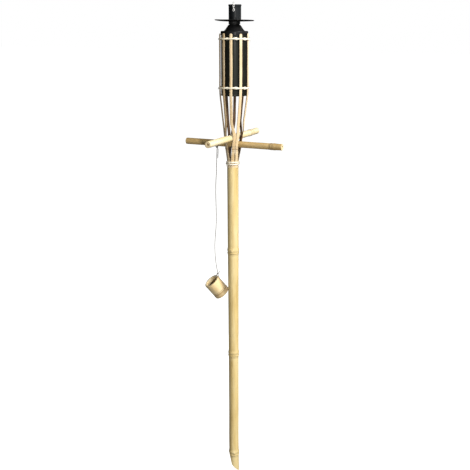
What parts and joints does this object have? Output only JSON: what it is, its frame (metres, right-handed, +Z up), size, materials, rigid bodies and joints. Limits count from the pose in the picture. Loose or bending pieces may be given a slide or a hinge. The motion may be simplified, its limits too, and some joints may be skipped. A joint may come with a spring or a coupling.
{
  "type": "bamboo garden torch",
  "caption": "Bamboo pole torch: a split-strip basket holds a fuel tin with a wick burner, flame guard and snuffer cap, with crossbars and a bamboo cup on a string.",
  "frame": {"origin": "on the culm's axis, level with the point of the stake", "axes": "+Z up the culm towards the flame; the lower crossbar lies along X, with the cup hanging at -X; the upper crossbar lies along Y"},
  "size_m": [0.26, 0.26, 1.1958],
  "materials": {
    "culm_bamboo": "waxy culm skin",
    "strip_bamboo": "waxy skin outside, split fibres inside",
    "lower_bar_bamboo": "weathered bamboo",
    "upper_bar_bamboo": "pale bamboo",
    "cane": "peeled cane",
    "tin_paint": "satin black-green paint",
    "burner_metal": "satin black",
    "cap_paint": "satin black",
    "chain_steel": "bright wire",
    "wick_fibre": "braided fibre",
    "string_cotton": "twisted two-ply string",
    "cup_bamboo": "bamboo skin, fibrous cut ends"
  },
  "bodies": {
    "torch_frame": {"culm": "culm_bamboo", "basket_strip_1": "strip_bamboo", "basket_strip_2": "strip_bamboo", "basket_strip_3": "strip_bamboo", "basket_strip_4": "strip_bamboo", "basket_strip_5": "strip_bamboo", "basket_strip_6": "strip_bamboo", "basket_strip_7": "strip_bamboo", "basket_strip_8": "strip_bamboo", "lower_crossbar": "lower_bar_bamboo", "upper_crossbar": "upper_bar_bamboo", "throat_binding": "cane", "lower_weave_a": "cane", "lower_weave_b": "cane", "upper_weave_a": "cane", "upper_weave_b": "cane"},
    "fuel_tin": {"tin_body": "tin_paint", "tin_base": "tin_paint", "tin_top": "tin_paint", "filler_neck": "tin_paint"},
    "flame_guard": {"flame_guard": "burner_metal"},
    "burner": {"burner_collar": "burner_metal", "wick_tube": "burner_metal"},
    "wick": {"wick": "wick_fibre"},
    "snuffer_cap": {"snuffer_cap": "cap_paint", "cap_ring": "chain_steel", "cap_rivet": "cap_paint", "chain_top_link": "chain_steel"},
    "cap_chain": {"cap_chain": "chain_steel"},
    "string_loop": {"string_loop": "string_cotton"},
    "string": {"string": "string_cotton"},
    "hanging_cup": {"snuffer_cup": "cup_bamboo", "cup_loop": "string_cotton"}
  },
  "joints": [
    {"name": "tin_lift", "type": "slide", "parent": "torch_frame", "child": "fuel_tin", "axis": [0, 0, 1], "range_m": [0, 0.16]},
    {"name": "burner_rise", "type": "slide", "parent": "fuel_tin", "child": "flame_guard", "axis": [0, 0, 1], "range_m": [0, 0.006]},
    {"name": "burner_turn", "type": "hinge", "parent": "flame_guard", "child": "burner", "pos_m": [0, 0, 1.146], "axis": [0, 0, 1], "range_deg": [0, 720]},
    {"name": "wick_raise", "type": "slide", "parent": "burner", "child": "wick", "axis": [0, 0, 1], "range_m": [-0.004, 0.01]},
    {"name": "cap_lift", "type": "slide", "parent": "flame_guard", "child": "snuffer_cap", "axis": [0, 0, 1], "range_m": [0, 0.05]},
    {"name": "chain_swing", "type": "hinge", "parent": "snuffer_cap", "child": "cap_chain", "pos_m": [0.00505, -0.01652, 1.19098], "axis": [-0.891, -0.454, 0], "range_deg": [0, 70]},
    {"name": "string_swing", "type": "hinge", "parent": "torch_frame", "child": "string_loop", "pos_m": [-0.046, 0, 0.8604], "axis": [1, 0, 0], "range_deg": [-60, 60]},
    {"name": "string_sway", "type": "hinge", "parent": "string_loop", "child": "string", "pos_m": [-0.046, 0, 0.8493], "axis": [0, 1, 0], "range_deg": [-0.4, 60]},
    {"name": "cup_tilt", "type": "hinge", "parent": "string", "child": "hanging_cup", "pos_m": [-0.046, 0, 0.529], "axis": [-0.7547, 0.6561, 0], "range_deg": [-8, 45]}
  ],
  "couplings": [
    {"joint": "burner_turn", "follows": "burner_rise", "rad_per_m": 2094.4}
  ]
}
